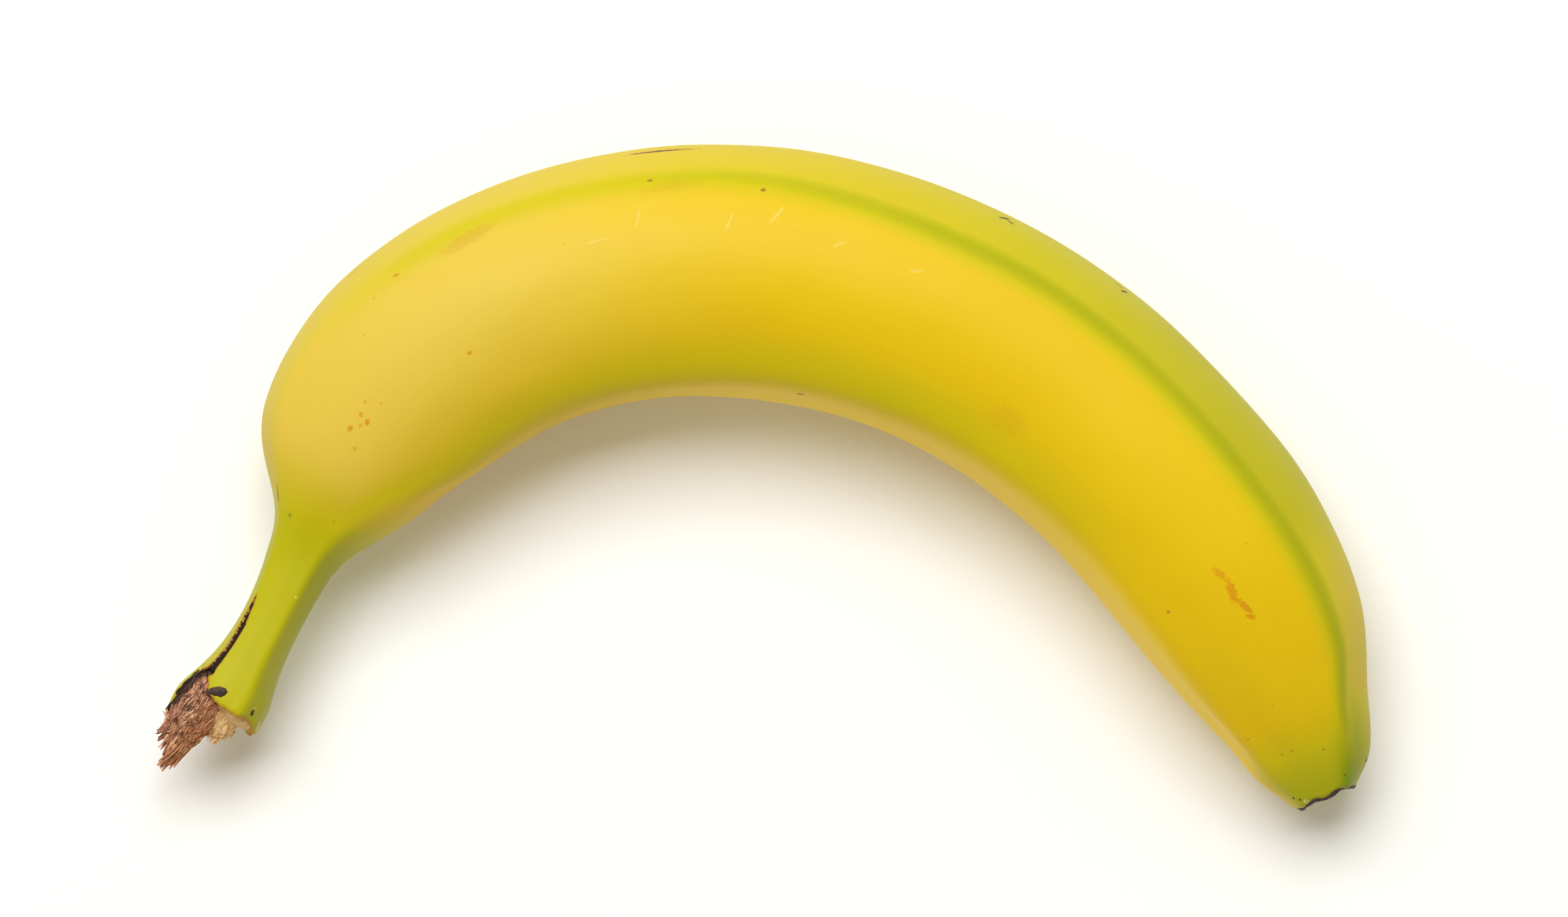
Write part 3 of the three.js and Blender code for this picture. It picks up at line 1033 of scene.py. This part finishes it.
for n in range(STRANDS):
    degrees = rng.uniform(-70, 225)
    start = rng.uniform(0.14, 0.60)
    end = min(start + rng.uniform(0.12, 0.45), 0.98)
    radius = rng.uniform(0.04, 0.10)
    lift = rng.uniform(0.05, 0.30)
    tube(bm, 5, 7, strand_path(start, end, degrees, lift, radius, None), shade=rng.random())
for along, across, up in FRAYS:
    for n in range(FRAY_STRANDS):
        degrees = math.degrees(math.atan2(up, across - 0.9)) + rng.gauss(0, 35)
        start = rng.uniform(0.45, 0.72)
        target = (along + rng.uniform(0, 1.8), across + rng.gauss(0, 0.22), up + rng.gauss(0, 0.2))
        path = strand_path(start, 0.90, degrees, 0.0, rng.uniform(0.12, 0.24), target)
        tube(bm, 5, 8, path, shade=rng.random())
fibre_bm = bm
print("fibres:", len(bm.faces), "faces")

# %% [markdown]
# Dried fibre is dead plant matter, like coir: brown and dull. The shade of each strand comes from
# its own number, and blotches of darker brown run over them all. Next to the pith it is orange,
# where the pith's sap dried on it, and along the tongue's rim it is nearly black: dried there, and
# painted shade where the mat lies below the rim.

# %% Dried fibre material
BLOTCH = 1.1               # the size of a dark blotch
fibre, tree, shader = start_material("dried plant fibre")
place = add(tree, "Attribute", {"attribute_name": "unbent"}).outputs["Vector"]
shade = add(tree, "Attribute", {"attribute_name": "tone"}).outputs["Fac"]
blotches = add(tree, "TexNoise", {"Scale": 1 / BLOTCH, "Detail": 4.0, "Roughness": 0.65},
               {"Vector": place})
grain_place = add(tree, "Mapping", {"Scale": (0.5, 5.0, 5.0)}, {"Vector": place})      # 2 by 0.2 mm
grain = add(tree, "TexNoise", {"Scale": 1.0, "Detail": 5.0, "Roughness": 0.7},
            {"Vector": grain_place.outputs[0]})
mixed = add(tree, "Math", {"operation": "MULTIPLY_ADD", 1: 0.5}, {0: shade, 2: grain.outputs["Fac"]})
browns = add(tree, "ValToRGB", None, {"Fac": mixed.outputs[0]})
ramp = browns.color_ramp
ramp.elements[0].position = 0.45
ramp.elements[0].color = linear("#7A4936")
ramp.elements[1].position = 1.00
ramp.elements[1].color = linear("#F4CDA8")
middle = ramp.elements.new(0.72)
middle.color = linear("#CA8A68")
across = add(tree, "SeparateXYZ", None, {0: place}).outputs["Y"]
near_char_and_shade = add(tree, "Attribute", {"attribute_name": "charred_and_shade"}).outputs["Fac"]
burnt_and_shaded = add(tree, "Math", {"operation": "MULTIPLY_ADD", 1: 0.9}, {0: near_char_and_shade, 2: grain.outputs["Fac"]})
TINTS = [                  # what it follows, from which value to which it comes in, how far, colour
    (blotches.outputs["Fac"], 0.50, 0.61, 0.78, "#42261F"),     # dark blotches
    (across, 2.2, -1.5, 0.5, "#CC8449"),                        # next to the pith
    # The last tint is dried black along the tongue's rim, and painted shade where the mat lies below it.
    (burnt_and_shaded.outputs[0], 0.75, 1.15, 0.9, "#2C201D"),             # along the tongue's rim
]
colour = browns.outputs["Color"]
for value, low, high, strength, tint in TINTS:
    cover = add(tree, "MapRange", {"From Min": low, "From Max": high, "To Max": strength}, {"Value": value})
    colour = add(tree, "Mix", {"data_type": "RGBA", 7: linear(tint)},
                 {0: cover.outputs[0], 6: colour}).outputs[2]
tree.links.new(colour, shader.inputs["Base Color"])
shader.inputs["Roughness"].default_value = 0.85
shader.inputs["Specular IOR Level"].default_value = 0.3
bump = add(tree, "Bump", {"Strength": 0.8, "Distance": 0.15 * MM}, {"Height": grain.outputs["Fac"]})
tree.links.new(bump.outputs[0], shader.inputs["Normal"])

torn_fibres = make_object("torn_fibres", fibre_bm, fibre)
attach(torn_fibres, "root")
print("torn_fibres:", len(torn_fibres.data.polygons), "faces")

# %% [markdown]
# The pith is what is left of the stalk's white inside. It broke across, so it ends in a plug with a
# rough face, one lobe next to the fibres that reaches further out, and thin flakes on both. A
# flake is a flat tube too: wide at its root, and thinned to nothing at its end.

# %% Pith: plug, lobe and flakes
PLUG = [                   # along, across, up, half width, half height
    (19.0, 0.0, 0.0, 4.0, 4.4), (16.5, 0.2, 0.0, 4.8, 5.0), (14.5, -0.3, 0.0, 5.3, 5.1),
    (13.0, -0.9, -0.1, 5.3, 4.9), (12.0, -1.5, -0.2, 4.7, 4.4), (11.2, -2.2, -0.3, 3.0, 3.2),
    (10.8, -2.6, -0.4, 0.8, 1.0),
]
LOBE = [
    (16.0, -0.6, 0.2, 2.6, 3.2), (13.0, -0.8, 0.2, 2.9, 3.4), (11.2, -1.0, 0.1, 2.9, 3.0),
    (9.8, -1.5, -0.1, 2.7, 2.5), (8.8, -2.1, -0.3, 2.2, 1.8), (8.0, -2.6, -0.4, 1.2, 0.9),
    (7.6, -2.8, -0.5, 0.2, 0.2),
]
FLAKES = 70                # on the plug's rough face
FRINGE = 46                # round the lobe's lower end
bm, unbent, tone, charred_and_shade = start_bmesh()
tube(bm, 40, 30, through(PLUG), rag=0.30, shade=0.2)
tube(bm, 40, 36, through(LOBE), rag=0.42, shade=0.5)
for n in range(FLAKES):
    across = rng.uniform(-5.4, 0.5)
    up = rng.uniform(-3.5, 3.6) * math.sqrt(max(0.05, 1 - ((across + 2.5) / 4.2) ** 2))
    root = 13.6 - 0.25 * abs(across + 2.5)
    reach = rng.uniform(0.5, 1.7) + (1.0 if -3.6 < across < -0.8 else 0)
    wide = rng.uniform(0.10, 0.34)
    side = rng.uniform(-0.5, 0.3)
    lean = rng.uniform(-0.4, 0.4)
    tube(bm, 8, 5, through([
        (root, across, up, wide, 0.14),
        (root - reach * 0.4, across + side * 0.4, up + lean * 0.3, wide, 0.11),
        (root - reach * 0.8, across + side * 0.8, up + lean * 0.8, wide * 0.55, 0.09),
        (root - reach, across + side, up + lean, 0.05, 0.03),
    ]), rag=0.15, shade=rng.random())
for n in range(FRINGE):
    along, across, up, lobe_wide, lobe_high = through(LOBE)(rng.uniform(0.35, 0.92))
    across += rng.uniform(-1.0, 0.6) * lobe_wide
    up += rng.uniform(-0.5, 0.95) * lobe_high
    reach = rng.uniform(0.5, 1.5)
    wide = rng.uniform(0.10, 0.34)
    side = rng.uniform(-0.5, 0.9)
    lean = rng.uniform(-0.3, 0.5)
    tube(bm, 8, 5, through([
        (along + 0.6, across, up, wide, 0.12),
        (along - reach * 0.3, across - side * 0.3, up + lean * 0.3, wide, 0.09),
        (along - reach * 0.7, across - side * 0.7, up + lean * 0.8, wide * 0.5, 0.07),
        (along - reach, across - side, up + lean, 0.04, 0.03),
    ]), rag=0.12, shade=rng.random())
pith_bm = bm
print("pith:", len(bm.faces), "faces")

# %% [markdown]
# Pith is starchy and soft, like the inside of dry bread: cream, matt, and light passes a little way
# into it, which a small share of subsurface scattering gives. It browns where it touches the fibres.

# %% Pith material
pith, tree, shader = start_material("banana pith, torn")
place = add(tree, "Attribute", {"attribute_name": "unbent"}).outputs["Vector"]
axes = add(tree, "SeparateXYZ", None, {0: place})
grain_place = add(tree, "Mapping", {"Scale": (0.7, 3.0, 3.0)}, {"Vector": place})      # 1.4 by 0.3 mm
grain = add(tree, "TexNoise", {"Scale": 1.0, "Detail": 5.0, "Roughness": 0.65},
            {"Vector": grain_place.outputs[0]})
light_part = add(tree, "MapRange", {"From Min": 0.35, "From Max": 0.6}, {"Value": grain.outputs["Fac"]})
creams = add(tree, "Mix", {"data_type": "RGBA", 6: linear("#D09C5C"), 7: linear("#EFCF98")},
             {0: light_part.outputs[0]})
near_fibre = add(tree, "MapRange", {"From Min": -1.8, "From Max": 0.8, "To Max": 0.85},
                 {"Value": axes.outputs["Y"]})
pith_colour = add(tree, "Mix", {"data_type": "RGBA", 7: linear("#B5763F")},
                  {0: near_fibre.outputs[0], 6: creams.outputs[2]})
tree.links.new(pith_colour.outputs[2], shader.inputs["Base Color"])
shader.inputs["Roughness"].default_value = 0.8
shader.inputs["Subsurface Weight"].default_value = 0.15
shader.inputs["Subsurface Radius"].default_value = (0.8 * MM, 0.5 * MM, 0.25 * MM)
bump = add(tree, "Bump", {"Strength": 0.4, "Distance": 0.10 * MM}, {"Height": grain.outputs["Fac"]})
tree.links.new(bump.outputs[0], shader.inputs["Normal"])

torn_pith = make_object("torn_pith", pith_bm, pith)
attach(torn_pith, "root")
print("torn_pith:", len(torn_pith.data.polygons), "faces")

# %% [markdown]
# Two last details of the tear: a small fold of peel that dried black where the lip meets the fibres,
# and a pit in the peel with a few pale crumbs of wax in it.

# %% Black fold and crumbs
CRUMBS = 11
FOLD = [                   # along, across, up, half width, half height
    (12.4, 2.25, 4.9, 0.05, 0.05), (12.7, 2.10, 5.3, 0.72, 0.38), (13.2, 1.80, 5.7, 1.00, 0.52),
    (13.7, 1.49, 6.0, 1.10, 0.62), (14.2, 1.20, 6.2, 1.00, 0.52), (14.7, 0.90, 6.2, 0.70, 0.32),
    (15.0, 0.72, 6.1, 0.05, 0.05),
]
bm, unbent, tone, charred_and_shade = start_bmesh()
tube(bm, 16, 23, through(FOLD), rag=0.15, shade=0.0)
fold_bm = bm
pit = on_top(14.3, -0.70)
bm, unbent, tone, charred_and_shade = start_bmesh()
for n in range(CRUMBS):
    turn = rng.uniform(-1.2, 2.6)
    away = rng.uniform(0.25, 0.60)
    spot = pit + Vector((away * math.sin(turn), away * math.cos(turn), 0.0))
    size = rng.uniform(0.06, 0.13)
    tube(bm, 6, 2, through([
        (spot.x - size, spot.y, spot.z, 0.02, 0.02), (spot.x, spot.y, spot.z, size, size),
        (spot.x + size, spot.y, spot.z, 0.02, 0.02),
    ]), rag=0.08, shade=1.0)
crumb_bm = bm
print("fold:", len(fold_bm.faces), "faces, crumbs:", len(crumb_bm.faces), "faces")

# %% [markdown]
# ## The dried tip
#
# The flower hung on the tip of the fruit. When it fell off it left a scar: a hard, nearly black rim
# that is curled and ragged, round a dry hollow with the stump of the style in it. The scar starts
# as a circle, extruded inwards step by step, and each step says how far in it lies and how far
# past the end of the peel it stands.

# %% The scar's shape
SCAR_STEPS = [             # share of the outline, and millimetres past the end of the peel
    (0.90, -0.9), (0.99, -0.20), (1.03, 0.08), (1.01, 0.36), (0.94, 0.48), (0.85, 0.30),
    (0.74, -0.20), (0.55, -0.45), (0.33, -0.35), (0.24, 0.05), (0.16, 0.30),
]
SCAR_SIDES = 72            # its first circle stays open, inside the peel
bm, unbent, tone, charred_and_shade = start_bmesh()
rim = set(bmesh.ops.create_circle(bm, segments=SCAR_SIDES, radius=1)["verts"])
for step, (share, past) in enumerate(SCAR_STEPS):
    if step:
        edges = [e for e in bm.edges if rim.issuperset(e.verts)]
        made = bmesh.ops.extrude_edge_only(bm, edges=edges)["geom"]
        rim = {g for g in made if isinstance(g, bmesh.types.BMVert)}
    for vert in rim:
        vert[unbent] = Vector((share, past, 0))
bmesh.ops.contextual_create(bm, geom=[e for e in bm.edges if rim.issuperset(e.verts)])
for vert in bm.verts:
    share, past = vert[unbent].xy
    turn = math.atan2(vert.co.y, vert.co.x)
    spot = Vector((math.cos(turn) * 1.6, math.sin(turn) * 1.6, share * 1.5))
    along = read_profile(SCAR, math.degrees(turn)) + past + 0.30 * noise.noise(spot * 1.3)
    outline = skin(along, math.degrees(turn)) * (share + 0.05 * noise.noise(spot * 2.9))
    vert[unbent] = Vector((along, *outline))
    vert[tone] = share
    vert.co = bend(along, *outline)
bmesh.ops.recalc_face_normals(bm, faces=bm.faces)
scar_bm = bm
print("scar:", len(bm.faces), "faces")

# %% [markdown]
# The scar is dead skin, dry and hard as bark: nearly black, with a crust that catches a little light.
# The black fold on the stalk dried the same way, so it has the same material.

# %% Dried scar material, and the last pieces
CRUST = 0.7                # the size of a flake of the crust
scar_skin, tree, shader = start_material("dried flower scar")
place = add(tree, "Attribute", {"attribute_name": "unbent"}).outputs["Vector"]
crust = add(tree, "TexNoise", {"Scale": 1 / CRUST, "Detail": 5.0, "Roughness": 0.7}, {"Vector": place})
scar_colour = add(tree, "ValToRGB", None, {"Fac": crust.outputs["Fac"]})
ramp = scar_colour.color_ramp
ramp.elements[0].position = 0.35
ramp.elements[0].color = linear("#2A1B1A")
ramp.elements[1].position = 0.70
ramp.elements[1].color = linear("#5A4038")
tree.links.new(scar_colour.outputs["Color"], shader.inputs["Base Color"])
shader.inputs["Roughness"].default_value = 0.7
bump = add(tree, "Bump", {"Strength": 0.8, "Distance": 0.2 * MM}, {"Height": crust.outputs["Fac"]})
tree.links.new(bump.outputs[0], shader.inputs["Normal"])

black_fold = make_object("black_fold", fold_bm, scar_skin)
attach(black_fold, "root")
crumbs = make_object("wax_crumbs", crumb_bm, pith)
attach(crumbs, "root")

flower_scar = make_object("flower_scar", scar_bm, scar_skin)
finer = flower_scar.modifiers.new("smooth", "SUBSURF")
finer.levels = 1
finer.render_levels = 1
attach(flower_scar, "root")
print("flower_scar:", len(flower_scar.data.polygons), "faces")
